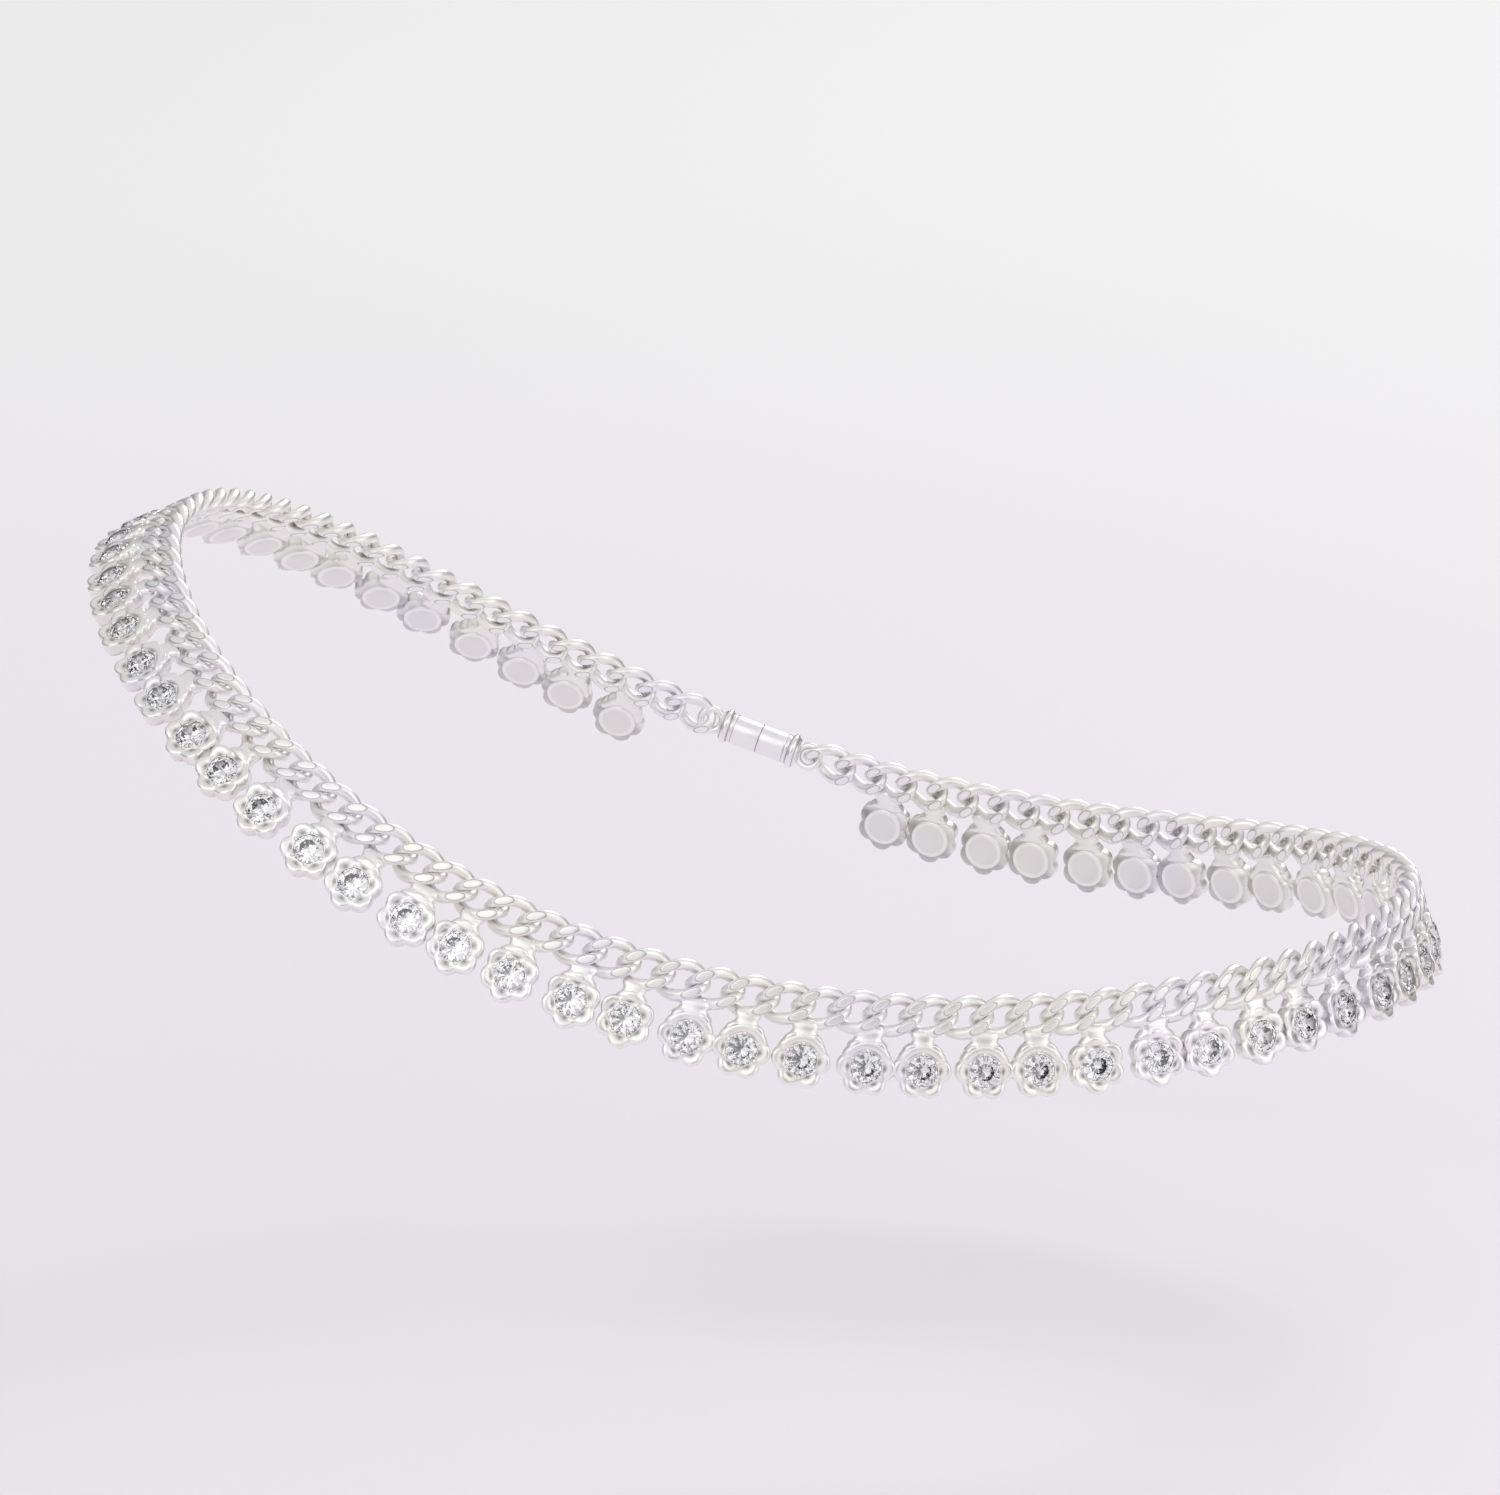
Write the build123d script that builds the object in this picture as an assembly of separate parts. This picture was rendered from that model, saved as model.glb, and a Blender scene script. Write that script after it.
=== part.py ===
from build123d import *
import bisect
import math
import os

os.makedirs("parts", exist_ok=True)

# A payal: a closed loop of curb chain worn slanting round the ankle, with a row of
# six-petal flower cups soldered under it, each holding one round stone.
# Millimetres. +Z points up the leg, +X points back to the heel, and the origin is the
# middle of the ankle passage. The loop is symmetrical about the XZ plane, but for its clasp.

# Loop: a sum of a few waves of the turn angle, which is 0 at the heel, 90 degrees on the
# clasp's side and 180 degrees at the instep. Each row gives the waves of one turn, of two
# turns and of three turns.
wave_table = {
    # axis: (once, twice, three times)
    "x_cos": (44.5, 0.0, 0.4),
    "y_sin": (35.5, -2.6, 2.0),
    "z_cos": (-12.0, 6.2, -0.6),
}
# Slope of the skin under the chain, in degrees from upright: mean, once and twice.
skin_slope = (27.0, -24.0, 14.0)
clasp_turn = 100.0

# Curb link: a closed wire, oval from the front and twisted so that the loop lies flat.
link_pitch = 2.47
link_half_length = 1.70
link_half_width = 1.14
link_twist = 0.65
wire_diameter = 0.86
solder_pin_diameter = 0.50
solder_pin_share = 0.80

# Chain runs: links joined along their thread, with the flower cups soldered under them,
# a little unevenly, at these places in link pitches from the run's start.
run_count = 13
links_per_run = 8
flower_places = (0.87, 2.37, 4.05, 5.53, 7.13)

# Flower cup, measured from the chain's middle line.
flower_drop = 3.70
flower_radius = 2.05
petal_count = 6
petal_radius = 0.72
core_radius = 1.62
cup_front = 0.75
cup_back = -0.55
base_radius = 1.45
petal_back = -0.35
# Petals lie level with the chain on seven flowers in seventeen; the rest are turned.
turn_cycle = 17
turn_start = 15
level_flowers = 7
petal_turn = 30.0
petal_hollow_radius = 0.28
petal_hollow_place = 1.52
petal_hollow_depth = 0.22
neck_width = 1.80
neck_top = -1.05
neck_foot = -2.35
neck_front = 0.50
neck_back = -0.30

# Stone: a round brilliant, table up, seated in the cup with a hair of clearance.
stone_radius = 1.12
table_radius = 0.62
crown_height = 0.34
girdle_height = 0.06
pavilion_depth = 0.90
girdle_level = 0.52
seat_clearance = 0.04

# Clasp: a plain barrel with an eye at each end, threaded by the two end links.
eye_radius = 0.83
eye_wire = 0.54
barrel_radius = 1.15
barrel_edge = 0.30
collar_radius = 1.35
collar_width = 0.50
eye_bite = 0.20

route_steps = 3600


def route(turn):
    """Point on the chain's middle line at a turn angle in radians."""
    waves = range(1, 4)
    x = sum(size * math.cos(n * turn) for n, size in zip(waves, wave_table["x_cos"]))
    y = sum(size * math.sin(n * turn) for n, size in zip(waves, wave_table["y_sin"]))
    z = sum(size * math.cos(n * turn) for n, size in zip(waves, wave_table["z_cos"]))
    return Vector(x, y, z)


def length_table():
    """Turn angles from the clasp right round the loop, and the chain length up to each."""
    turns = [math.radians(clasp_turn) + math.tau * n / route_steps for n in range(route_steps + 1)]
    lengths = [0.0]
    for before, after in zip(turns, turns[1:]):
        lengths.append(lengths[-1] + (route(after) - route(before)).length)
    return turns, lengths


turns, lengths = length_table()
loop_length = lengths[-1]
link_count = run_count * links_per_run
first_link = (loop_length - (link_count - 1) * link_pitch) / 2


def turn_at(length):
    """Turn angle where the chain has run this far from the clasp's middle."""
    after = min(max(bisect.bisect(lengths, length), 1), route_steps)
    share = (length - lengths[after - 1]) / (lengths[after] - lengths[after - 1])
    return turns[after - 1] + share * (turns[after] - turns[after - 1])


def chain_plane(length):
    """Plane on the chain: X runs along it, Y up across it and Z out of the skin."""
    turn = turn_at(length)
    step = math.tau / route_steps
    along = (route(turn + step) - route(turn - step)).normalized()
    outward = Vector(along.Y, -along.X, 0).normalized()
    mean, once, twice = skin_slope
    slope = math.radians(mean + once * math.cos(turn) + twice * math.cos(2 * turn))
    down = outward * math.sin(slope) - Vector(0, 0, math.cos(slope))
    down = (down - along * down.dot(along)).normalized()
    return Plane(origin=route(turn), x_dir=along, z_dir=along.cross(down * -1))


def link_point(angle):
    """Middle of the link's wire; 0 is the end that leads along the chain."""
    x = link_half_length * math.cos(angle)
    y = link_half_width * math.sin(angle)
    return Vector(x, y, -link_twist * math.sin(2 * angle))


def link_heading(angle):
    """Direction of the link's wire."""
    x = -link_half_length * math.sin(angle)
    y = link_half_width * math.cos(angle)
    return Vector(x, y, -2 * link_twist * math.cos(2 * angle)).normalized()


def wire_arc(start, heading, end):
    """Round wire along the circular arc that leaves start in a heading and meets end."""
    chord = end - start
    normal = heading.cross(chord).normalized()
    inward = normal.cross(heading)
    radius = chord.length**2 / (2 * chord.dot(inward))
    sweep_angle = 2 * math.degrees(math.asin(chord.length / (2 * radius)))
    bend = Plane(origin=start + inward * radius, x_dir=inward * -1, z_dir=normal)
    return bend * Torus(radius, wire_diameter / 2, major_angle=sweep_angle, align=None)


def wire_bend(start, start_heading, end, end_heading):
    """Two tangent arcs that join two places on the wire smoothly."""
    chord = end - start
    headings = start_heading + end_heading
    square = 2 * (1 - start_heading.dot(end_heading))
    linear = chord.dot(headings)
    handle = (math.sqrt(linear**2 + square * chord.dot(chord)) - linear) / square
    middle = (start + start_heading * handle + end - end_heading * handle) * 0.5
    return [wire_arc(start, start_heading, middle), wire_arc(end, end_heading * -1, middle)]


def curb_link():
    """Closed link of eight tangent arcs, two to each quarter."""
    arcs = []
    for quarter in range(4):
        ends = [quarter * math.pi / 2, (quarter + 1) * math.pi / 2]
        arcs += wire_bend(
            link_point(ends[0]), link_heading(ends[0]), link_point(ends[1]), link_heading(ends[1])
        )
    return arcs[0].fuse(*arcs[1:])


def solder_pin(before, after):
    """Pin between one link's leading end and the next link's trailing end, sunk in both wires."""
    start = before.from_local_coords(Vector(link_half_length, 0, 0))
    end = after.from_local_coords(Vector(-link_half_length, 0, 0))
    reach = end - start
    middle = Plane(origin=(start + end) * 0.5, z_dir=reach)
    return middle * Cylinder(solder_pin_diameter / 2, solder_pin_share * reach.length)


def brilliant(grow=0.0, open_top=False):
    """Round brilliant on its girdle plane; grown and open at the top, it cuts the seat."""
    radius = stone_radius + grow
    tip = -pavilion_depth - grow
    if open_top:
        outline = [(0, tip), (radius, 0), (radius, cup_front), (0, cup_front)]
    else:
        top = girdle_height + crown_height
        outline = [(0, tip), (radius, 0), (radius, girdle_height), (table_radius, top), (0, top)]
    return revolve(Plane.XZ * make_face(Polyline(outline, close=True)), Axis.Z)


def flower_cup(turn):
    """Six petals round a cup, with a hollow in each petal and the stone's seat."""
    centres = PolarLocations(flower_radius - petal_radius, petal_count, turn)
    outline = Circle(core_radius) + centres * Circle(petal_radius)
    cup = Pos(0, 0, petal_back) * extrude(outline, cup_front - petal_back)
    cup += Pos(0, 0, cup_back / 2) * Cylinder(base_radius, -cup_back)
    hollow_centres = PolarLocations(petal_hollow_place, petal_count, turn)
    hollow = Cylinder(petal_hollow_radius, 2 * petal_hollow_depth)
    cup -= Pos(0, 0, cup_front) * hollow_centres * hollow
    cup -= Pos(0, 0, girdle_level) * brilliant(seat_clearance, open_top=True)
    return Pos(0, -flower_drop, 0) * cup


def neck(length):
    """Flat web of solder from the links' lower wires down into the flower cup."""
    web = Box(neck_width, neck_top - neck_foot, neck_front - neck_back)
    middle = Pos(0, (neck_top + neck_foot) / 2, (neck_front + neck_back) / 2)
    return chain_plane(length) * middle * web


def run_flowers(run):
    """Chain length and petal turn of a run's flowers; none sits beside the clasp."""
    flowers = []
    for order, place in enumerate(flower_places):
        number = run * len(flower_places) + order
        if number in (0, run_count * len(flower_places) - 1):
            continue
        length = first_link + (run * links_per_run + place - 0.5) * link_pitch
        level = (number - turn_start) % turn_cycle < level_flowers
        flowers.append((length, 0.0 if level else petal_turn))
    return flowers


def chain_run(run, link, cups):
    """Eight links and their flowers as one soldered solid."""
    places = range(run * links_per_run, (run + 1) * links_per_run)
    planes = [chain_plane(first_link + place * link_pitch) for place in places]
    pieces = [plane * link for plane in planes]
    pieces += [solder_pin(before, after) for before, after in zip(planes, planes[1:])]
    for length, turn in run_flowers(run):
        pieces += [neck(length), chain_plane(length) * cups[turn]]
    return pieces[0].fuse(*pieces[1:])


def run_stones(run, stone):
    return Compound(children=[chain_plane(length) * stone for length, _ in run_flowers(run)])


def clasp_eye(plane, side):
    """Eye round an end link's wire; side is 1 at the chain's end and -1 at its start."""
    angle = 0 if side > 0 else math.pi
    centre = link_point(angle)
    ring = Plane(origin=centre, z_dir=link_heading(angle)) * Torus(eye_radius, eye_wire / 2)
    return plane * ring


def clasp():
    """Barrel on the line between the two end links, with its eyes."""
    end_plane = chain_plane(first_link + (link_count - 1) * link_pitch)
    start_plane = chain_plane(first_link)
    reach = link_half_length + eye_radius - eye_wire / 2 + eye_bite
    end = end_plane.from_local_coords(Vector(reach, 0, 0))
    start = start_plane.from_local_coords(Vector(-reach, 0, 0))
    axis = start - end
    middle = Plane(origin=(start + end) * 0.5, x_dir=end_plane.y_dir, z_dir=axis)
    barrel = Cylinder(barrel_radius, axis.length)
    barrel = fillet(barrel.edges().filter_by(GeomType.CIRCLE), barrel_edge)
    collar_place = axis.length / 2 - barrel_edge - collar_width / 2
    for side in (-1, 1):
        barrel += Pos(0, 0, side * collar_place) * Cylinder(collar_radius, collar_width)
    return (middle * barrel).fuse(clasp_eye(end_plane, 1), clasp_eye(start_plane, -1))


link = curb_link()
cups = {turn: flower_cup(turn) for turn in (0.0, petal_turn)}
stone = Pos(0, -flower_drop, girdle_level) * brilliant()
for run in range(run_count):
    export_step(chain_run(run, link, cups), f"parts/chain_run_{run + 1:02d}.step")
    export_step(run_stones(run, stone), f"parts/stones_{run + 1:02d}.step")
export_step(clasp(), "parts/clasp.step")

print("loop length", round(loop_length, 1), "links", link_count)
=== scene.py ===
import math

import bmesh
import bpy
from mathutils import Matrix, Quaternion, Vector


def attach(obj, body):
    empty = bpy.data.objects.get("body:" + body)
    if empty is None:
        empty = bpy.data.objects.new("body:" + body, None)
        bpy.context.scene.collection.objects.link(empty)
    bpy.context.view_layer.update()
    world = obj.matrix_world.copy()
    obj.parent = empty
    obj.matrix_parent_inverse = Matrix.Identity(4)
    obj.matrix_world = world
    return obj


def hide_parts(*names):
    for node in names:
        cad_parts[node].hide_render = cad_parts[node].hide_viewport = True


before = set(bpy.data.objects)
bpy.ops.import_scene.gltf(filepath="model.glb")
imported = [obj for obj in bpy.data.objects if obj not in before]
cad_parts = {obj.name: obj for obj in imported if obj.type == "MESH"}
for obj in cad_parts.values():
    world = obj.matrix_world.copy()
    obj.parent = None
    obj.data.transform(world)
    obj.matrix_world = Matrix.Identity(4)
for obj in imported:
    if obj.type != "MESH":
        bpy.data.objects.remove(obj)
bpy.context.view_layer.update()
print("frame loaded:", len(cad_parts), "nodes")

mm = 0.001
runNames = sorted(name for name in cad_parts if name.startswith("chain_run"))
stoneNames = sorted(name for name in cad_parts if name.startswith("stones"))

# The ankle route, the same as in the CAD: waves of one, two and three turns, in mm.
loop = {
    "xCos": (44.5, 0.0, 0.4),
    "ySin": (35.5, -2.6, 2.0),
    "zCos": (-12.0, 6.2, -0.6),
    "skinSlope": (27.0, -24.0, 14.0),  # degrees from upright: mean, once, twice
    "claspTurn": 100.0,
    "steps": 3600,
    "runs": 13,
    "linksPerRun": 8,
    "linkPitch": 2.47,
    "flowerPlaces": (0.87, 2.37, 4.05, 5.53, 7.13),  # link pitches from a run's start
}


def srgb(code):
    shares = [int(code[i:i + 2], 16) / 255 for i in (1, 3, 5)]
    linear = [s / 12.92 if s <= 0.04045 else ((s + 0.055) / 1.055) ** 2.4 for s in shares]
    return (*linear, 1.0)


def addNode(tree, kind, settings=None, links=None):
    # one node, its settings, and each input as a value or a link
    node = tree.nodes.new(kind)
    for name, value in (settings or {}).items():
        setattr(node, name, value)
    for key, value in (links or {}).items():
        if isinstance(value, bpy.types.NodeSocket):
            tree.links.new(value, node.inputs[key])
        else:
            node.inputs[key].default_value = value
    return node


def routePoint(turn):
    x, y, z = (
        sum(size * wave((n + 1) * turn) for n, size in enumerate(loop[name]))
        for name, wave in (("xCos", math.cos), ("ySin", math.sin), ("zCos", math.cos))
    )
    return Vector((x, y, z))


def measureRoute():
    # turn angles right round from the clasp, and the chain length up to each
    start = math.radians(loop["claspTurn"])
    turns = [start + math.tau * n / loop["steps"] for n in range(loop["steps"] + 1)]
    lengths = [0.0]
    for before, after in zip(turns, turns[1:]):
        lengths.append(lengths[-1] + (routePoint(after) - routePoint(before)).length)
    return turns, lengths


routeTurns, routeLengths = measureRoute()
linkCount = loop["runs"] * loop["linksPerRun"]
firstLink = (routeLengths[-1] - (linkCount - 1) * loop["linkPitch"]) / 2


def seatAt(length):
    # where the chain lies, and its turn: X along it, Y up across it, Z out of the skin
    after = 1
    low, high = 0, loop["steps"]
    while high - low > 1:
        after = (low + high) // 2
        low, high = (after, high) if routeLengths[after] <= length else (low, after)
    share = (length - routeLengths[low]) / (routeLengths[high] - routeLengths[low])
    turn = routeTurns[low] + share * (routeTurns[high] - routeTurns[low])
    step = math.tau / loop["steps"]
    along = (routePoint(turn + step) - routePoint(turn - step)).normalized()
    outward = Vector((along.y, -along.x, 0)).normalized()
    mean, once, twice = loop["skinSlope"]
    slope = math.radians(mean + once * math.cos(turn) + twice * math.cos(2 * turn))
    down = outward * math.sin(slope) - Vector((0, 0, math.cos(slope)))
    down = (down - along * down.dot(along)).normalized()
    out = along.cross(-down)
    facing = Matrix((along, -down, out)).transposed().to_quaternion()
    return routePoint(turn) * mm, facing


linkSeats = [seatAt(firstLink + n * loop["linkPitch"]) for n in range(linkCount)]

flowerSeats = []
for flower in range(1, loop["runs"] * len(loop["flowerPlaces"]) - 1):
    run, order = divmod(flower, len(loop["flowerPlaces"]))
    place = run * loop["linksPerRun"] + loop["flowerPlaces"][order] - 0.5
    where, facing = seatAt(firstLink + place * loop["linkPitch"])
    flowerSeats.append((flower, where, facing))
print("seats:", len(linkSeats), "links and", len(flowerSeats), "flowers")


def seatMesh(name, places, values):
    # loose points with their turns and sizes, for Geometry Nodes to stand things on
    mesh = bpy.data.meshes.new(name)
    mesh.from_pydata([tuple(place) for place in places], [], [])
    for title, (kind, items) in values.items():
        layer = mesh.attributes.new(title, kind, "POINT")
        for item, value in zip(layer.data, items):
            if kind == "FLOAT_VECTOR":
                item.vector = value
            else:
                item.value = value
    return mesh


def grow(name, mesh, tree, values):
    # runs a tree over a mesh and keeps the result as a plain mesh at the origin
    seats = bpy.data.objects.new(name + "Seats", mesh)
    bpy.context.scene.collection.objects.link(seats)
    modifier = seats.modifiers.new("build", "NODES")
    modifier.node_group = tree
    for item in tree.interface.items_tree:
        if item.item_type == "SOCKET" and item.in_out == "INPUT" and item.name in values:
            modifier[item.identifier] = values[item.name]
    graph = bpy.context.evaluated_depsgraph_get()
    plain = bpy.data.meshes.new_from_object(
        seats.evaluated_get(graph), preserve_all_data_layers=True, depsgraph=graph
    )
    seats.modifiers.remove(modifier)
    bpy.data.objects.remove(seats)
    piece = bpy.data.objects.new(name, plain)
    bpy.context.scene.collection.objects.link(piece)
    print(name + ":", len(plain.polygons), "faces")
    return piece


def newTree(name, inputs):
    # a Geometry Nodes tree with a mesh in, a mesh out and named inputs
    tree = bpy.data.node_groups.new(name, "GeometryNodeTree")
    face = tree.interface
    face.new_socket("Seats", in_out="INPUT", socket_type="NodeSocketGeometry")
    for title, kind in inputs.items():
        face.new_socket(title, in_out="INPUT", socket_type=kind)
    face.new_socket("Geometry", in_out="OUTPUT", socket_type="NodeSocketGeometry")
    return tree, tree.nodes.new("NodeGroupInput").outputs


def endTree(tree, instances, material):
    # loose instances to one mesh, with its metal or stone
    whole = addNode(tree, "GeometryNodeRealizeInstances", links={"Geometry": instances})
    dressed = addNode(
        tree, "GeometryNodeSetMaterial", links={"Geometry": whole.outputs[0], "Material": material}
    )
    out = tree.nodes.new("NodeGroupOutput")
    tree.links.new(dressed.outputs[0], out.inputs[0])


def calculate(tree, operation, first, second, third=0.0):
    values = {0: first, 1: second, 2: third}
    return addNode(tree, "ShaderNodeMath", {"operation": operation}, values).outputs[0]


def namedAttribute(tree, title, kind):
    values = {"Name": title}
    return addNode(tree, "GeometryNodeInputNamedAttribute", {"data_type": kind}, values).outputs[0]


# Blanched silver: 925 silver heated and pickled until a skin of fine silver stands on it.
# It looks soft and nearly white, with a faint warm or lilac cast, and shines only where it
# has been burnished; the deep corners are painted dark grey, partly oxide and partly painted shade.
silver = {
    "white": "#faf8f6",
    "warm": "#faf8f4",
    "lilac": "#f8f6fa",
    # dark grey of the deep corners: partly oxide, partly painted shade
    "recess": "#3f3c40",
    "satin": 0.42,
    "burnished": 0.30,
    "shadeLineWidth": 0.035,  # painted shade line where a rubbed flat ends, for the dark reflection at that edge; width as a share of the flat's level
    "shadeLineDepth": 0.36,
    "castMm": 9.0,  # size of the faint patches of colour
    "grainMm": 0.16,  # blanched grain, drawn coarser than the real 0.03 mm so that it shows
    "grainHeightMm": 0.006,
    "dentMm": 0.7,  # gentle unevenness of drawn and tumbled wire
    "dentHeightMm": 0.02,
}


def makeSilver():
    material = bpy.data.materials.new("blanchedSilver")
    material.use_nodes = True
    tree = material.node_tree
    tree.nodes.clear()
    where = addNode(tree, "ShaderNodeTexCoord").outputs["Object"]
    cast = addNode(tree, "ShaderNodeTexNoise", links={
        "Vector": where, "Scale": 1 / (silver["castMm"] * mm), "Detail": 2.0})
    tones = addNode(tree, "ShaderNodeValToRGB", links={"Fac": cast.outputs["Fac"]})
    ramp = tones.color_ramp
    ramp.elements[0].position, ramp.elements[1].position = 0.34, 0.66
    ramp.elements[0].color, ramp.elements[1].color = srgb(silver["warm"]), srgb(silver["lilac"])
    ramp.elements.new(0.5).color = srgb(silver["white"])
    recess = addNode(tree, "ShaderNodeAttribute", {"attribute_name": "recess"}).outputs["Fac"]
    rub = addNode(tree, "ShaderNodeAttribute", {"attribute_name": "rub"}).outputs["Fac"]
    # painted shade line where each rubbed flat ends, standing for the dark reflection at that edge
    onLine = calculate(tree, "COMPARE", rub, 1.0, silver["shadeLineWidth"])
    line = calculate(tree, "MULTIPLY", onLine, silver["shadeLineDepth"])
    # the dark grey: oxide and painted shade in the corners, and the painted shade line at each flat's edge
    depth = calculate(tree, "MAXIMUM", recess, line)
    colour = addNode(tree, "ShaderNodeMix", {"data_type": "RGBA"}, {
        "Factor": depth, 6: tones.outputs["Color"], 7: srgb(silver["recess"])})
    burnish = addNode(tree, "ShaderNodeAttribute", {"attribute_name": "burnish"}).outputs["Fac"]
    grain = addNode(tree, "ShaderNodeTexNoise", links={
        "Vector": where, "Scale": 1 / (silver["grainMm"] * mm), "Detail": 3.0})
    dent = addNode(tree, "ShaderNodeTexNoise", links={
        "Vector": where, "Scale": 1 / (silver["dentMm"] * mm), "Detail": 1.0})
    shine = addNode(tree, "ShaderNodeMapRange", links={
        "Value": burnish, "To Min": silver["satin"], "To Max": silver["burnished"]})
    patch = addNode(tree, "ShaderNodeMapRange", links={
        "Value": dent.outputs["Fac"], "From Min": 0.3, "From Max": 0.7, "To Min": -0.05, "To Max": 0.05})
    rough = addNode(tree, "ShaderNodeMath", {"operation": "ADD", "use_clamp": True}, {
        0: shine.outputs["Result"], 1: patch.outputs["Result"]})
    wave = addNode(tree, "ShaderNodeBump", links={
        "Strength": 0.6, "Distance": silver["dentHeightMm"] * mm, "Height": dent.outputs["Fac"]})
    bump = addNode(tree, "ShaderNodeBump", links={
        "Strength": 0.7, "Distance": silver["grainHeightMm"] * mm, "Height": grain.outputs["Fac"],
        "Normal": wave.outputs["Normal"]})
    shader = addNode(tree, "ShaderNodeBsdfPrincipled", links={
        "Base Color": colour.outputs[2], "Metallic": 1.0,
        "Roughness": rough.outputs[0], "Normal": bump.outputs["Normal"]})
    addNode(tree, "ShaderNodeOutputMaterial", links={"Surface": shader.outputs[0]})
    return material


# Cubic zirconia: colourless cut stone, harder and brighter than glass; it bends light far
# more than glass does, so its facets turn from white to near black within a hair.
zirconia = {
    "tint": "#fdfcff",
    "ior": 2.15,
    "polish": 0.01,
    "worn": 0.04,  # roughness where handling has dulled it
    "hazeMm": 0.5,
}


def makeZirconia():
    material = bpy.data.materials.new("cubicZirconia")
    material.use_nodes = True
    tree = material.node_tree
    tree.nodes.clear()
    where = addNode(tree, "ShaderNodeTexCoord").outputs["Object"]
    haze = addNode(tree, "ShaderNodeTexNoise", links={
        "Vector": where, "Scale": 1 / (zirconia["hazeMm"] * mm), "Detail": 2.0})
    rough = addNode(tree, "ShaderNodeMapRange", links={
        "Value": haze.outputs["Fac"], "From Min": 0.35, "From Max": 0.65,
        "To Min": zirconia["polish"], "To Max": zirconia["worn"]})
    shader = addNode(tree, "ShaderNodeBsdfPrincipled", links={
        "Base Color": srgb(zirconia["tint"]), "IOR": zirconia["ior"],
        "Transmission Weight": 1.0, "Roughness": rough.outputs["Result"]})
    addNode(tree, "ShaderNodeOutputMaterial", links={"Surface": shader.outputs[0]})
    return material


silverMaterial = makeSilver()
stoneMaterial = makeZirconia()
print("materials made")


# Curb chain: closed wire links, one threaded through the next.
curbLink = {
    "Half length": 1.74 * mm,
    "Half width": 1.14 * mm,
    "Pinch": 0.42,  # how much the oval narrows towards its ends
    "Lean": 0.28 * mm,  # how far its top leans along the chain
    "Twist": 0.50 * mm,
    "Wire radius": 0.43 * mm,
    "Taper": 0.18,  # how much the wire is drawn thinner round its ends
    "Flat level": 0.76 * mm,  # the front and back are rubbed flat here
    "Flat edge": 0.06 * mm,
    "Segments": 46,
    "Sides": 20,
    "Material": silverMaterial,
}


def chainTree():
    tree, given = newTree("curbChain", {
        "Half length": "NodeSocketFloat", "Half width": "NodeSocketFloat",
        "Pinch": "NodeSocketFloat", "Lean": "NodeSocketFloat",
        "Twist": "NodeSocketFloat", "Wire radius": "NodeSocketFloat", "Taper": "NodeSocketFloat",
        "Flat level": "NodeSocketFloat", "Flat edge": "NodeSocketFloat",
        "Segments": "NodeSocketInt", "Sides": "NodeSocketInt", "Material": "NodeSocketMaterial"})

    def calc(operation, first, second, third=0.0):
        return calculate(tree, operation, first, second, third)

    # the wire's line: an oval seen from the front, bent forward twice and back twice
    ring = addNode(tree, "GeometryNodeCurvePrimitiveCircle", links={"Resolution": given["Segments"]})
    index = addNode(tree, "GeometryNodeInputIndex").outputs[0]
    angle = calc("DIVIDE", calc("MULTIPLY", index, math.tau), given["Segments"])
    across, beside = calc("COSINE", angle, 0.0), calc("SINE", angle, 0.0)
    lean = calc("MULTIPLY", beside, given["Lean"])
    x = calc("MULTIPLY_ADD", across, given["Half length"], lean)
    square = calc("MULTIPLY", across, across)
    pinch = calc("MULTIPLY", square, given["Pinch"])
    y = calc("MULTIPLY", calc("MULTIPLY", beside, given["Half width"]), calc("SUBTRACT", 1.0, pinch))
    z = calc("MULTIPLY", calc("SINE", calc("MULTIPLY", angle, -2.0), 0.0), given["Twist"])
    line = addNode(tree, "ShaderNodeCombineXYZ", links={"X": x, "Y": y, "Z": z})
    bent = addNode(tree, "GeometryNodeSetPosition", links={
        "Geometry": ring.outputs[0], "Position": line.outputs[0]})
    section = addNode(tree, "GeometryNodeCurvePrimitiveCircle", links={
        "Resolution": given["Sides"], "Radius": given["Wire radius"]})
    wire = addNode(tree, "GeometryNodeCurveToMesh", links={
        "Curve": bent.outputs[0], "Profile Curve": section.outputs[0],
        "Scale": calc("SUBTRACT", 1.0, calc("MULTIPLY", square, given["Taper"]))})
    # the flats, and the mark for the painted shade line where they end
    place = addNode(tree, "ShaderNodeSeparateXYZ", links={
        0: addNode(tree, "GeometryNodeInputPosition").outputs[0]})
    reach = calc("ABSOLUTE", place.outputs["Z"], 0.0)
    rub = calc("DIVIDE", reach, given["Flat level"])  # 1 where the round wire meets its flat
    marked = addNode(tree, "GeometryNodeStoreNamedAttribute", {
        "data_type": "FLOAT", "domain": "POINT"}, {
        "Geometry": wire.outputs[0], "Name": "rub", "Value": rub})
    front = calc("SMOOTH_MIN", place.outputs["Z"], given["Flat level"], given["Flat edge"])
    backLevel = calc("MULTIPLY", given["Flat level"], -1.0)
    level = calc("SMOOTH_MAX", front, backLevel, given["Flat edge"])
    flat = addNode(tree, "ShaderNodeCombineXYZ", links={
        "X": place.outputs["X"], "Y": place.outputs["Y"], "Z": level})
    rubbed = addNode(tree, "GeometryNodeSetPosition", links={
        "Geometry": marked.outputs[0], "Position": flat.outputs[0]})
    smooth = addNode(tree, "GeometryNodeSetShadeSmooth", links={"Geometry": rubbed.outputs[0]})
    # one link on each seat
    facing = namedAttribute(tree, "facing", "QUATERNION")
    links = addNode(tree, "GeometryNodeInstanceOnPoints", links={
        "Points": given["Seats"], "Instance": smooth.outputs[0], "Rotation": facing})
    endTree(tree, links.outputs[0], given["Material"])
    return tree


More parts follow.
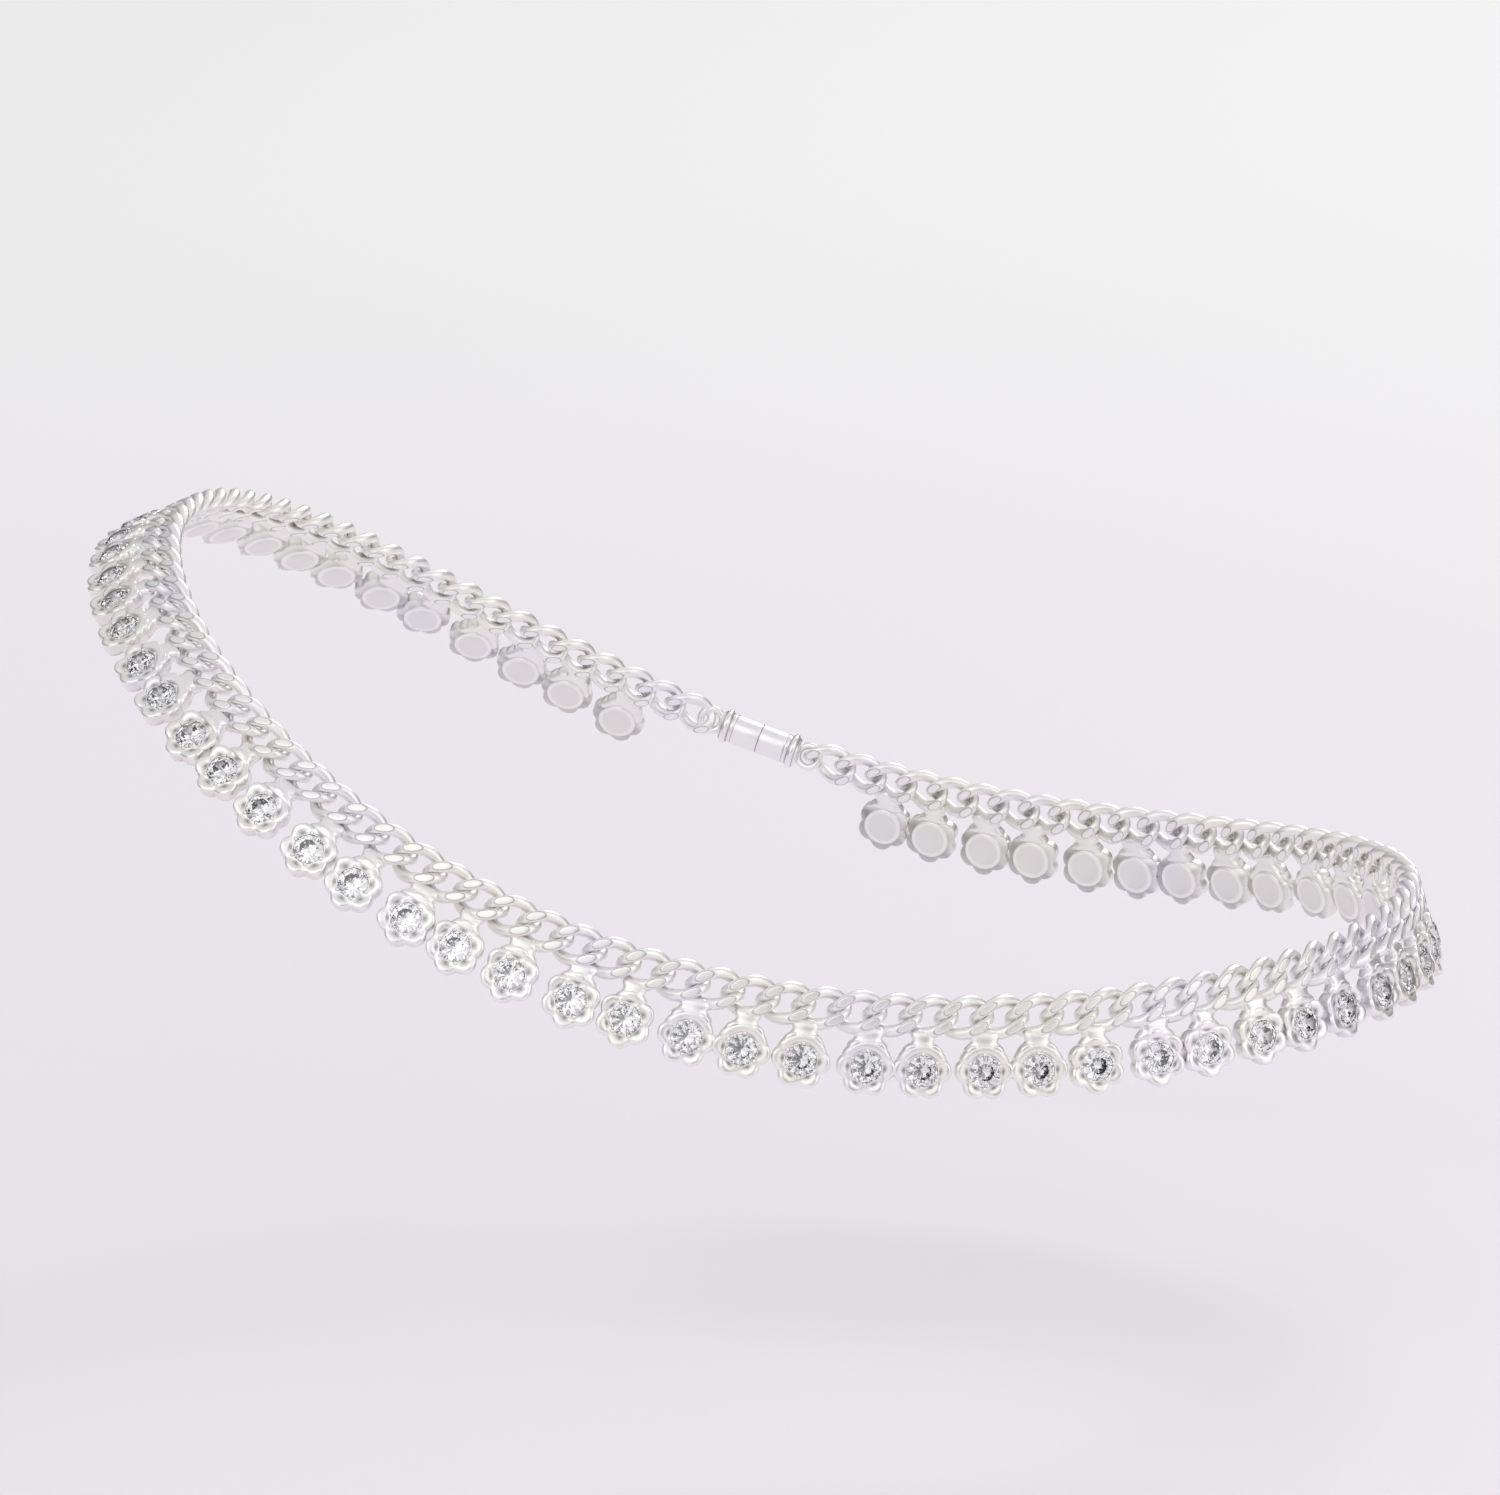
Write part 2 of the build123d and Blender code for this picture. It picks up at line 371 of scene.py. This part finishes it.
linkPoints = seatMesh("linkPoints", [where for where, _ in linkSeats], {
    "facing": ("QUATERNION", [facing for _, facing in linkSeats])})
chain = grow("curb_chain", linkPoints, chainTree(), curbLink)
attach(chain, "root")
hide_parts(*runNames)


# Flower setting: a six-petal cup, its grains and its neck. Lengths in mm.
flowerCup = {
    "drop": 3.70,  # from the chain's middle line to the flower's middle
    "petals": 6,
    "petalRadius": 0.88,
    "petalPlace": 1.17,
    "notchRadius": 1.70,
    "rimRadius": 1.22,  # of the stone's rim, from which the petals' shares are measured
    "columns": 48,
    "levelStart": 15,  # flowers whose petals lie level with the chain: seven in seventeen
    "levelCycle": 17,
    "levelCount": 7,
    "turned": 30.0,
}

# Rows of the cup's section: share of the way from the rim to the outline, or a fixed
# radius; height and dark grey at a notch; height and dark grey at a petal's middle; burnish.
# The dark grey in the stone's seat, at the petals' inner ends and under the rim is partly
# oxide and partly painted shade.
cupRows = (
    # kind, amount, notch height, notch oxide and painted shade, petal height, petal oxide and painted
    # shade, burnish
    ("radius", 0.55, -0.02, 0.0, -0.02, 0.0, 1.0),
    ("radius", 1.02, 0.36, 0.0, 0.36, 0.0, 1.0),
    ("radius", 1.13, 0.50, 0.3, 0.50, 0.3, 0.3),
    ("radius", 1.115, 0.59, 0.1, 0.59, 0.3, 0.3),
    ("radius", 1.07, 0.625, 0.0, 0.615, 0.0, 0.8),
    ("radius", 1.12, 0.66, 0.0, 0.63, 0.0, 0.8),
    ("radius", 1.19, 0.67, 0.0, 0.58, 0.62, 0.2),
    ("share", 0.14, 0.65, 0.0, 0.57, 0.68, 0.0),
    ("share", 0.30, 0.63, 0.0, 0.66, 0.08, 0.1),
    ("share", 0.48, 0.62, 0.0, 0.72, 0.0, 0.4),
    ("share", 0.66, 0.60, 0.0, 0.745, 0.0, 0.6),
    ("share", 0.82, 0.57, 0.0, 0.745, 0.0, 0.8),
    ("share", 0.93, 0.50, 0.05, 0.70, 0.0, 0.8),
    ("share", 0.99, 0.38, 0.10, 0.58, 0.0, 0.4),
    ("share", 1.00, 0.00, 0.10, 0.00, 0.0, 0.0),
    ("share", 0.94, -0.31, 0.03, -0.31, 0.0, 0.0),
    ("radius", 1.44, -0.37, 0.2, -0.37, 0.2, 0.0),
    ("radius", 1.43, -0.49, 0.0, -0.49, 0.0, 0.0),
    ("radius", 1.36, -0.55, 0.0, -0.55, 0.0, 0.6),
    ("radius", 1.20, -0.55, 0.0, -0.55, 0.0, 0.6),
    ("radius", 1.08, -0.50, 0.1, -0.50, 0.1, 0.0),
)


def petalOutline(angle):
    # distance of the scalloped edge from the flower's middle, and how far the angle is from
    # the petal's middle: 0 there, and a quarter turn at the notches
    sector = math.tau / flowerCup["petals"]
    off = (angle + sector / 2) % sector - sector / 2
    middle, radius = flowerCup["petalPlace"], flowerCup["petalRadius"]
    inside = radius**2 - (middle * math.sin(off)) ** 2
    petal = middle * math.cos(off) + math.sqrt(max(inside, 0.0))
    return max(petal, flowerCup["notchRadius"]), off * flowerCup["petals"] / 2


def skin(rings, ends=None, recess=0.0, burnish=0.0):
    # rings of points joined into a closed skin: each end is drawn to a point, or with no
    # ends the last ring meets the first. Marks are one value, one a ring or one a point.
    count, rows = len(rings[0]), len(rings)
    faces = []
    for row in range(rows if ends is None else rows - 1):
        here, there = row * count, (row + 1) % rows * count
        for n in range(count):
            after = (n + 1) % count
            faces.append((here + n, here + after, there + after, there + n))
    if ends is not None:
        first, last, base = rows * count, rows * count + 1, (rows - 1) * count
        for n in range(count):
            after = (n + 1) % count
            faces += [(first, after, n), (last, base + n, base + after)]
    marks = {}
    for title, values in (("recess", recess), ("burnish", burnish)):
        values = values if isinstance(values, list) else [values] * rows
        each = [v for row in values for v in (row if isinstance(row, list) else [row] * count)]
        marks[title] = each + ([] if ends is None else [each[0], each[-1]])
    return [p for ring in rings for p in ring] + list(ends or []), faces, marks


def faceOutward(mesh):
    work = bmesh.new()
    work.from_mesh(mesh)
    bmesh.ops.recalc_face_normals(work, faces=work.faces)
    work.to_mesh(mesh)
    work.free()


def meshOf(name, skins):
    # one mesh of closed skins given in mm, smooth, with every face looking out
    points, faces, marks = [], [], {"recess": [], "burnish": []}
    for skinPoints, skinFaces, skinMarks in skins:
        faces += [tuple(len(points) + corner for corner in face) for face in skinFaces]
        points += skinPoints
        for title in marks:
            marks[title] += skinMarks[title]
    mesh = bpy.data.meshes.new(name)
    mesh.from_pydata([tuple(c * mm for c in p) for p in points], [], faces)
    faceOutward(mesh)
    for title, values in marks.items():
        mesh.attributes.new(title, "FLOAT", "POINT").data.foreach_set("value", values)
    mesh.polygons.foreach_set("use_smooth", [True] * len(mesh.polygons))
    return mesh


def cupMesh():
    rings, recesses = [], []
    rim = flowerCup["rimRadius"]
    columns = [math.tau * n / flowerCup["columns"] for n in range(flowerCup["columns"])]
    for kind, amount, notchHeight, notchRecess, petalHeight, petalRecess, burnish in cupRows:
        ring, recess = [], []
        for angle in columns:
            outline, swing = petalOutline(angle)
            petal = 1 - math.sin(swing) ** 4
            radius = amount if kind == "radius" else rim + amount * (outline - rim)
            height = notchHeight + (petalHeight - notchHeight) * petal
            ring.append((radius * math.cos(angle), radius * math.sin(angle), height))
            # dark grey share round the cup: partly oxide, partly painted shade
            recess.append(notchRecess + (petalRecess - notchRecess) * math.cos(swing) ** 6)
        rings.append(ring)
        recesses.append(recess)
    ends = [(0, 0, -0.45), (0, 0, -0.50)]
    return meshOf("petalCup", [skin(rings, ends, recesses, [row[6] for row in cupRows])])


# Grain: a bead of metal raised in each notch and pressed over the stone's edge.
grain = {"radius": 0.17, "place": 1.16, "height": 0.60, "sides": 8, "rows": 4}


def grainMesh():
    rings = []
    for row in range(grain["rows"]):
        lift = math.pi / 2 * (1 - (row + 0.7) / grain["rows"])
        wide = grain["radius"] * math.cos(lift)
        ring = [(grain["place"] + wide * math.cos(math.tau * n / grain["sides"]),
                 wide * math.sin(math.tau * n / grain["sides"]),
                 grain["height"] + grain["radius"] * math.sin(lift)) for n in range(grain["sides"])]
        rings.append(ring)
    peak, foot = grain["height"] + grain["radius"], grain["height"] - 0.1
    ends = [(grain["place"], 0, peak), (grain["place"], 0, foot)]
    # the lower rings of each bead are painted dark grey, partly oxide and partly painted shade under the
    # bead
    return meshOf("grain", [skin(rings, ends, [0.0, 0.0, 0.2, 0.5], [1.0, 0.8, 0.3, 0.0])])


# Neck: a flat web soldered to the chain's lower wires, from its top row down.
neckRows = (
    # height from the chain's middle, half width, half depth, middle depth, burnish
    (-0.90, 0.85, 0.24, 0.08, 0.0),
    (-1.03, 1.05, 0.38, 0.10, 0.2),
    (-1.25, 1.08, 0.46, 0.12, 0.4),
    (-1.48, 0.98, 0.50, 0.12, 0.5),
    (-1.64, 0.90, 0.52, 0.12, 0.5),
    (-1.78, 0.94, 0.55, 0.12, 0.4),
    (-1.92, 1.08, 0.58, 0.13, 0.4),
    (-2.08, 1.24, 0.60, 0.13, 0.3),
    (-2.24, 1.32, 0.58, 0.13, 0.2),
    (-2.40, 1.26, 0.46, 0.12, 0.1),
)
webSides = 14


def webRing(middle, wideWay, deepWay, halfWide, halfDeep):
    # one ring of a web of solder: a soft rectangle
    ring = []
    for n in range(webSides):
        angle = -math.tau * n / webSides
        wide = halfWide * math.copysign(abs(math.cos(angle)) ** 0.6, math.cos(angle))
        deep = halfDeep * math.copysign(abs(math.sin(angle)) ** 0.6, math.sin(angle))
        ring.append(tuple(m + wide * w + deep * d for m, w, d in zip(middle, wideWay, deepWay)))
    return ring


def neckMesh():
    rings = [webRing((0, height, middle), (1, 0, 0), (0, 0, 1), halfWide, halfDeep)
             for height, halfWide, halfDeep, middle, _ in neckRows]
    ends = [(0, neckRows[0][0] + 0.04, 0.1), (0, neckRows[-1][0] - 0.05, 0.1)]
    return meshOf("neck", [skin(rings, ends, 0.0, [row[4] for row in neckRows])])


# Shoulder: solder that runs from the neck down over the two upper petals of a level flower.
shoulder = {
    "place": 1.53,
    "halfWide": 0.39,
    "halfDeep": 0.60,
    "middle": 0.16,
    "from": 12,  # degrees round the flower
    "to": 168,
    "rows": 15,
}


def shoulderMesh():
    rings, count = [], shoulder["rows"]
    for row in range(count):
        share = row / (count - 1)
        angle = math.radians(shoulder["from"] + share * (shoulder["to"] - shoulder["from"]))
        swell = min(1.0, 0.35 + 2.6 * math.sin(math.pi * share))
        out = (math.cos(angle), math.sin(angle), 0)
        middle = tuple(shoulder["place"] * c for c in out[:2]) + (shoulder["middle"],)
        halfWide, halfDeep = shoulder["halfWide"] * swell, shoulder["halfDeep"] * swell
        rings.append(webRing(middle, out, (0, 0, 1), halfWide, halfDeep))
    ends = [tuple(sum(p[axis] for p in ring) / webSides for axis in range(3))
            for ring in (rings[0], rings[-1])]
    return meshOf("shoulder", [skin(rings, ends, 0.0, 0.2)])


def prototype(name, mesh):
    shape = bpy.data.objects.new(name, mesh)
    bpy.context.scene.collection.objects.link(shape)
    return shape


def lowerSeats(tree, given, facing):
    # the seats moved down from the chain to the flowers' middles
    drop = calculate(tree, "MULTIPLY", given["Drop"], -1.0)
    low = addNode(tree, "ShaderNodeCombineXYZ", links={"Y": drop}).outputs[0]
    swung = addNode(tree, "FunctionNodeRotateVector", links={"Vector": low, "Rotation": facing}).outputs[0]
    return addNode(tree, "GeometryNodeSetPosition", links={
        "Geometry": given["Seats"], "Offset": swung}).outputs[0]


def settingTree():
    tree, given = newTree("flowerSettings", {
        "Cup": "NodeSocketObject", "Grain": "NodeSocketObject", "Neck": "NodeSocketObject",
        "Shoulder": "NodeSocketObject",
        "Drop": "NodeSocketFloat", "Petals": "NodeSocketInt", "Material": "NodeSocketMaterial"})
    facing = namedAttribute(tree, "facing", "QUATERNION")
    petalTurn = namedAttribute(tree, "petalTurn", "QUATERNION")
    shapes = [addNode(tree, "GeometryNodeObjectInfo", links={"Object": given[title]}).outputs["Geometry"]
              for title in ("Cup", "Grain", "Neck", "Shoulder")]
    # grains stand round the cup in its notches
    step = calculate(tree, "DIVIDE", math.tau, given["Petals"])
    index = addNode(tree, "GeometryNodeInputIndex").outputs[0]
    angle = calculate(tree, "MULTIPLY", calculate(tree, "ADD", index, 0.5), step)
    turn = addNode(tree, "ShaderNodeCombineXYZ", links={"Z": angle}).outputs[0]
    spots = addNode(tree, "GeometryNodePoints", links={"Count": given["Petals"]}).outputs[0]
    beads = addNode(tree, "GeometryNodeInstanceOnPoints", links={
        "Points": spots, "Instance": shapes[1], "Rotation": turn}).outputs[0]
    head = addNode(tree, "GeometryNodeJoinGeometry")
    for shape in (beads, shapes[0]):
        tree.links.new(shape, head.inputs[0])
    # the head turns about its own middle, below the chain
    lowered = lowerSeats(tree, given, facing)
    heads = addNode(tree, "GeometryNodeInstanceOnPoints", links={
        "Points": lowered, "Instance": head.outputs[0], "Rotation": petalTurn}).outputs[0]
    necks = addNode(tree, "GeometryNodeInstanceOnPoints", links={
        "Points": given["Seats"], "Instance": shapes[2], "Rotation": facing,
        "Scale": namedAttribute(tree, "neckSize", "FLOAT_VECTOR")}).outputs[0]
    shoulders = addNode(tree, "GeometryNodeInstanceOnPoints", links={
        "Points": lowered, "Instance": shapes[3], "Rotation": facing,
        "Selection": namedAttribute(tree, "level", "BOOLEAN")}).outputs[0]
    both = addNode(tree, "GeometryNodeJoinGeometry")
    for group in (shoulders, necks, heads):
        tree.links.new(group, both.inputs[0])
    endTree(tree, both.outputs[0], given["Material"])
    return tree


def isLevel(flower):
    return (flower - flowerCup["levelStart"]) % flowerCup["levelCycle"] < flowerCup["levelCount"]


def petalTurnOf(flower):
    return Quaternion((0, 0, 1), math.radians(0.0 if isLevel(flower) else flowerCup["turned"]))


def neckSizeOf(flower):
    # necks were cut by hand, so no two are quite as wide
    return (0.98 + 0.14 * math.sin(2.4 * flower), 1.0, 1.0)


flowerPlaces = [seat[1] for seat in flowerSeats]
flowerPoints = seatMesh("flowerPoints", flowerPlaces, {
    "facing": ("QUATERNION", [seat[2] for seat in flowerSeats]),
    "petalTurn": ("QUATERNION", [seat[2] @ petalTurnOf(seat[0]) for seat in flowerSeats]),
    "neckSize": ("FLOAT_VECTOR", [neckSizeOf(seat[0]) for seat in flowerSeats]),
    "level": ("BOOLEAN", [isLevel(seat[0]) for seat in flowerSeats]),
})
shapes = {
    "Cup": prototype("cupShape", cupMesh()),
    "Grain": prototype("grainShape", grainMesh()),
    "Neck": prototype("neckShape", neckMesh()),
    "Shoulder": prototype("shoulderShape", shoulderMesh()),
}
settings = grow("flower_settings", flowerPoints, settingTree(), {
    **shapes, "Drop": flowerCup["drop"] * mm, "Petals": flowerCup["petals"], "Material": silverMaterial})
for shape in shapes.values():
    bpy.data.objects.remove(shape)
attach(settings, "root")
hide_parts(*runNames)


# Stone: a round brilliant, table up. Levels in mm from the chain's middle plane.
brilliant = {
    "girdleLevel": 0.52,
    "girdleRadius": 1.12,
    "girdleHeight": 0.06,
    "tableRadius": 0.62,
    "crownHeight": 0.34,
    "starRadius": 0.86,
    "lowerRadius": 0.28,
    "pavilionDepth": 0.90,
    "mains": 8,
}


def brilliantMesh():
    mains = brilliant["mains"]
    table, girdle = brilliant["tableRadius"], brilliant["girdleRadius"]
    half = math.pi / mains
    top = brilliant["girdleLevel"] + brilliant["girdleHeight"]
    tableHeight = top + brilliant["crownHeight"]
    crownFall = brilliant["crownHeight"] / (girdle - table)
    starHeight = tableHeight - crownFall * (brilliant["starRadius"] * math.cos(half) - table)
    culet = brilliant["girdleLevel"] - brilliant["pavilionDepth"]
    pavilionRise = brilliant["pavilionDepth"] / girdle
    lowerHeight = culet + pavilionRise * brilliant["lowerRadius"] * math.cos(half)
    # corner rings from the table down, and the point at the bottom
    points, starts = [], []
    for radius, height, count, turn in (
        (table, tableHeight, mains, 0.0),
        (brilliant["starRadius"], starHeight, mains, half),
        (girdle, top, 2 * mains, 0.0),
        (girdle, brilliant["girdleLevel"], 2 * mains, 0.0),
        (brilliant["lowerRadius"], lowerHeight, mains, half),
    ):
        starts.append(len(points))
        for n in range(count):
            angle = turn + math.tau * n / count
            points.append((radius * math.cos(angle), radius * math.sin(angle), height))
    points.append((0, 0, culet))
    tables, stars, uppers, lowers, halves = starts
    tip = len(points) - 1
    faces = [tuple(range(mains))]
    for n in range(mains):
        after, back = (n + 1) % mains, (n - 1) % mains
        faces.append((tables + n, stars + n, tables + after))
        faces.append((tables + n, stars + back, uppers + 2 * n, stars + n))
        faces.append((stars + n, uppers + 2 * n, uppers + 2 * n + 1))
        faces.append((stars + n, uppers + 2 * n + 1, uppers + 2 * after))
        faces.append((lowers + 2 * n, halves + n, lowers + 2 * n + 1))
        faces.append((lowers + 2 * n + 1, halves + n, lowers + 2 * after))
        faces.append((lowers + 2 * n, halves + back, tip, halves + n))
    for n in range(2 * mains):
        after = (n + 1) % (2 * mains)
        faces.append((uppers + n, lowers + n, lowers + after, uppers + after))
    mesh = bpy.data.meshes.new("brilliant")
    mesh.from_pydata([tuple(c * mm for c in p) for p in points], [], faces)
    faceOutward(mesh)
    return mesh


def stoneTree():
    tree, given = newTree("stones", {
        "Stone": "NodeSocketObject", "Drop": "NodeSocketFloat", "Seed": "NodeSocketInt",
        "Material": "NodeSocketMaterial"})
    facing = namedAttribute(tree, "facing", "QUATERNION")
    lowered = lowerSeats(tree, given, facing)
    # each stone is set as it falls, so its facets are turned at random
    chance = addNode(tree, "FunctionNodeRandomValue", {"data_type": "FLOAT"}, {
        "Seed": given["Seed"], "Min": 0.0, "Max": math.tau})
    spin = addNode(tree, "FunctionNodeEulerToRotation", links={"Euler": addNode(
        tree, "ShaderNodeCombineXYZ", links={"Z": chance.outputs[1]}).outputs[0]}).outputs[0]
    turned = addNode(tree, "FunctionNodeRotateRotation", {"rotation_space": "LOCAL"}, {
        "Rotation": facing, "Rotate By": spin}).outputs[0]
    shape = addNode(tree, "GeometryNodeObjectInfo", links={"Object": given["Stone"]}).outputs["Geometry"]
    stones = addNode(tree, "GeometryNodeInstanceOnPoints", links={
        "Points": lowered, "Instance": shape, "Rotation": turned}).outputs[0]
    endTree(tree, stones, given["Material"])
    return tree


stonePoints = seatMesh("stonePoints", flowerPlaces, {
    "facing": ("QUATERNION", [seat[2] for seat in flowerSeats])})
stoneShape = prototype("stoneShape", brilliantMesh())
stones = grow("stones", stonePoints, stoneTree(), {
    "Stone": stoneShape, "Drop": flowerCup["drop"] * mm, "Seed": 7, "Material": stoneMaterial})
bpy.data.objects.remove(stoneShape)
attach(stones, "root")
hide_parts(*stoneNames)


# A barrel that screws together in the middle, with a rolled collar and an eye at each end.
barrel = {
    "reach": 2.48,  # from the middle of an end link to the barrel's end
    "eyePlace": 1.74,
    "eyeRadius": 0.83,
    "eyeWire": 0.27,
    "eyeRows": 40,
    "sides": 48,
    "wireSides": 14,
    "tip": 0.03,  # from each end to the middle of its face
    "rows": (
        # distance from the barrel's end, radius, oxide and painted shade, burnish
        (0.03, 0.30, 0.2, 0.3),
        (0.02, 0.72, 0.0, 0.6),
        (0.08, 0.96, 0.0, 0.8),
        (0.20, 1.10, 0.0, 0.6),
        (0.29, 1.13, 0.5, 0.2),
        (0.33, 1.22, 0.1, 0.5),
        (0.42, 1.32, 0.0, 1.0),
        (0.55, 1.345, 0.0, 1.0),
        (0.68, 1.32, 0.0, 1.0),
        (0.77, 1.22, 0.1, 0.5),
        (0.81, 1.10, 0.6, 0.0),
        (0.90, 1.09, 0.2, 0.2),
        (0.96, 1.13, 0.0, 0.8),
        (1.04, 1.15, 0.0, 0.8),
        (1.12, 1.13, 0.0, 0.8),
        (1.16, 1.08, 0.6, 0.0),
        (1.20, 1.13, 0.0, 0.6),
        (1.30, 1.14, 0.0, 0.3),
    ),
    "seam": (
        # distance from the barrel's middle, radius, oxide and painted shade, burnish
        (-0.10, 1.14, 0.0, 0.4),
        (-0.05, 1.13, 0.1, 0.4),
        (0.0, 1.06, 0.8, 0.0),
        (0.05, 1.13, 0.1, 0.4),
        (0.10, 1.14, 0.0, 0.4),
    ),
}


def circle(middle, across, up, radius, sides):
    return [tuple(middle + across * (radius * math.cos(math.tau * n / sides))
                  + up * (radius * math.sin(math.tau * n / sides))) for n in range(sides)]


def claspMesh():
    ends, skins = [], []
    for seat, side in ((linkSeats[-1], 1), (linkSeats[0], -1)):
        where, facing = seat[0] / mm, seat[1]
        ends.append(where + facing @ Vector((side * barrel["reach"], 0, 0)))
        # the eye lies square to the end link's wire
        middle = where + facing @ Vector((side * barrel["eyePlace"], 0, 0))
        rise = curbLink["Half width"] * (1 - curbLink["Pinch"])
        wire = facing @ Vector((0, rise, -2 * curbLink["Twist"]))
        axis, along = wire.normalized(), facing @ Vector((side, 0, 0))
        up = axis.cross(along)
        rings = []
        for row in range(barrel["eyeRows"]):
            angle = math.tau * row / barrel["eyeRows"]
            out = along * math.cos(angle) + up * math.sin(angle)
            centre = middle + out * barrel["eyeRadius"]
            rings.append(circle(centre, out, axis, barrel["eyeWire"], barrel["wireSides"]))
        skins.append(skin(rings, None, 0.0, 0.7))
    start, end = ends
    length = (end - start).length
    along = (end - start).normalized()
    across = along.orthogonal().normalized()
    up = along.cross(across)
    rows = list(barrel["rows"])
    rows += [(length / 2 + place, *rest) for place, *rest in barrel["seam"]]
    rows += [(length - place, *rest) for place, *rest in reversed(barrel["rows"])]
    rings = [circle(start + along * place, across, up, radius, barrel["sides"])
             for place, radius, _, _ in rows]
    tips = [tuple(start + along * barrel["tip"]), tuple(end - along * barrel["tip"])]
    # the barrel's grooves, end faces and seam are painted dark grey, partly oxide and partly painted shade
    skins.append(skin(rings, tips, [row[2] for row in rows], [row[3] for row in rows]))
    mesh = meshOf("barrelClasp", skins)
    mesh.materials.append(silverMaterial)
    return mesh


clasp = bpy.data.objects.new("barrel_clasp", claspMesh())
bpy.context.scene.collection.objects.link(clasp)
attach(clasp, "root")
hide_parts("clasp")
print("barrel_clasp:", len(clasp.data.polygons), "faces")


# Studio: a matt table below the piece, soft sky, three lamps and the camera.
studio = {
    "floorLevelMm": -36.0,
    "floorHalfMm": 6000.0,
    # painted shade: the floor is a little darker and lilac round the piece
    "floorShadeNear": "#fbf6fd",
    "floorFar": "#ffffff",
    "nearMm": 90.0,
    "farMm": 520.0,
    "skyHigh": "#dcdcdc",
    "skyLow": "#7c7c7c",
    "skyFrom": 0.10,  # height in the sky, 0 level and 1 straight up
    "skyTo": 0.70,
}


def makeFloor():
    # a matt table, with painted lilac shade close round the piece, fading to white further out
    material = bpy.data.materials.new("mattTable")
    material.use_nodes = True
    tree = material.node_tree
    tree.nodes.clear()
    where = addNode(tree, "ShaderNodeTexCoord").outputs["Object"]
    reach = addNode(tree, "ShaderNodeVectorMath", {"operation": "LENGTH"}, {0: where}).outputs["Value"]
    share = addNode(tree, "ShaderNodeMapRange", {"interpolation_type": "SMOOTHSTEP"}, {
        "Value": reach, "From Min": studio["nearMm"] * mm, "From Max": studio["farMm"] * mm})
    tone = addNode(tree, "ShaderNodeMix", {"data_type": "RGBA"}, {
        "Factor": share.outputs["Result"], 6: srgb(studio["floorShadeNear"]), 7: srgb(studio["floorFar"])})
    shader = addNode(tree, "ShaderNodeBsdfPrincipled", links={
        "Base Color": tone.outputs[2], "Roughness": 0.6})
    addNode(tree, "ShaderNodeOutputMaterial", links={"Surface": shader.outputs[0]})
    half, level = studio["floorHalfMm"] * mm, studio["floorLevelMm"] * mm
    corners = [(side * half, end * half, level) for side, end in ((-1, -1), (1, -1), (1, 1), (-1, 1))]
    mesh = bpy.data.meshes.new("floor")
    mesh.from_pydata(corners, [], [(0, 1, 2, 3)])
    mesh.materials.append(material)
    floor = bpy.data.objects.new("floor", mesh)
    bpy.context.scene.collection.objects.link(floor)


makeFloor()

world = bpy.data.worlds.new("studioAir")
bpy.context.scene.world = world
world.use_nodes = True
airTree = world.node_tree
airTree.nodes.clear()
heading = addNode(airTree, "ShaderNodeSeparateXYZ", links={
    0: addNode(airTree, "ShaderNodeTexCoord").outputs["Generated"]})
lift = addNode(airTree, "ShaderNodeMapRange", {"interpolation_type": "SMOOTHSTEP"}, {
    "Value": heading.outputs["Z"], "From Min": studio["skyFrom"], "From Max": studio["skyTo"]})
sky = addNode(airTree, "ShaderNodeMix", {"data_type": "RGBA"}, {
    "Factor": lift.outputs["Result"], 6: srgb(studio["skyLow"]), 7: srgb(studio["skyHigh"])})
air = addNode(airTree, "ShaderNodeBackground", links={"Color": sky.outputs[2], "Strength": 1.0})
addNode(airTree, "ShaderNodeOutputWorld", links={"Surface": air.outputs[0]})

lamps = (
    # name, place in m, side in m, watts
    ("keyLamp", (-0.30, -0.95, 0.55), 1.20, 2.9),
    ("fillLamp", (0.95, -0.45, 0.40), 0.95, 2.4),
    ("backLamp", (0.25, 0.85, 0.70), 0.45, 2.4),
)
for name, place, side, watts in lamps:
    light = bpy.data.lights.new(name, "AREA")
    light.energy, light.size = watts, side
    lamp = bpy.data.objects.new(name, light)
    lamp.location = place
    lamp.rotation_euler = (-Vector(place)).to_track_quat("-Z", "Y").to_euler()
    bpy.context.scene.collection.objects.link(lamp)

view = {
    "turn": -9.01,
    "tilt": 12.81,
    "distanceMm": 650.0,
    "besideMm": -2.84,
    "heightMm": 3.22,
    "lensMm": 217.0,
    "sensorMm": 36.0,
}
turn, tilt = math.radians(view["turn"]), math.radians(view["tilt"])
ahead = Vector((math.sin(turn) * math.cos(tilt), math.cos(turn) * math.cos(tilt), -math.sin(tilt)))
right = Vector((math.cos(turn), -math.sin(turn), 0))
target = (right * view["besideMm"] + Vector((0, 0, view["heightMm"]))) * mm
camera = bpy.data.objects.new("camera", bpy.data.cameras.new("camera"))
camera.data.lens = view["lensMm"]
camera.data.sensor_width = view["sensorMm"]
camera.location = target - ahead * view["distanceMm"] * mm
camera.rotation_euler = ahead.to_track_quat("-Z", "Y").to_euler()
bpy.context.scene.collection.objects.link(camera)
bpy.context.scene.camera = camera
bpy.context.scene.view_settings.view_transform = "Standard"
print("studio ready")
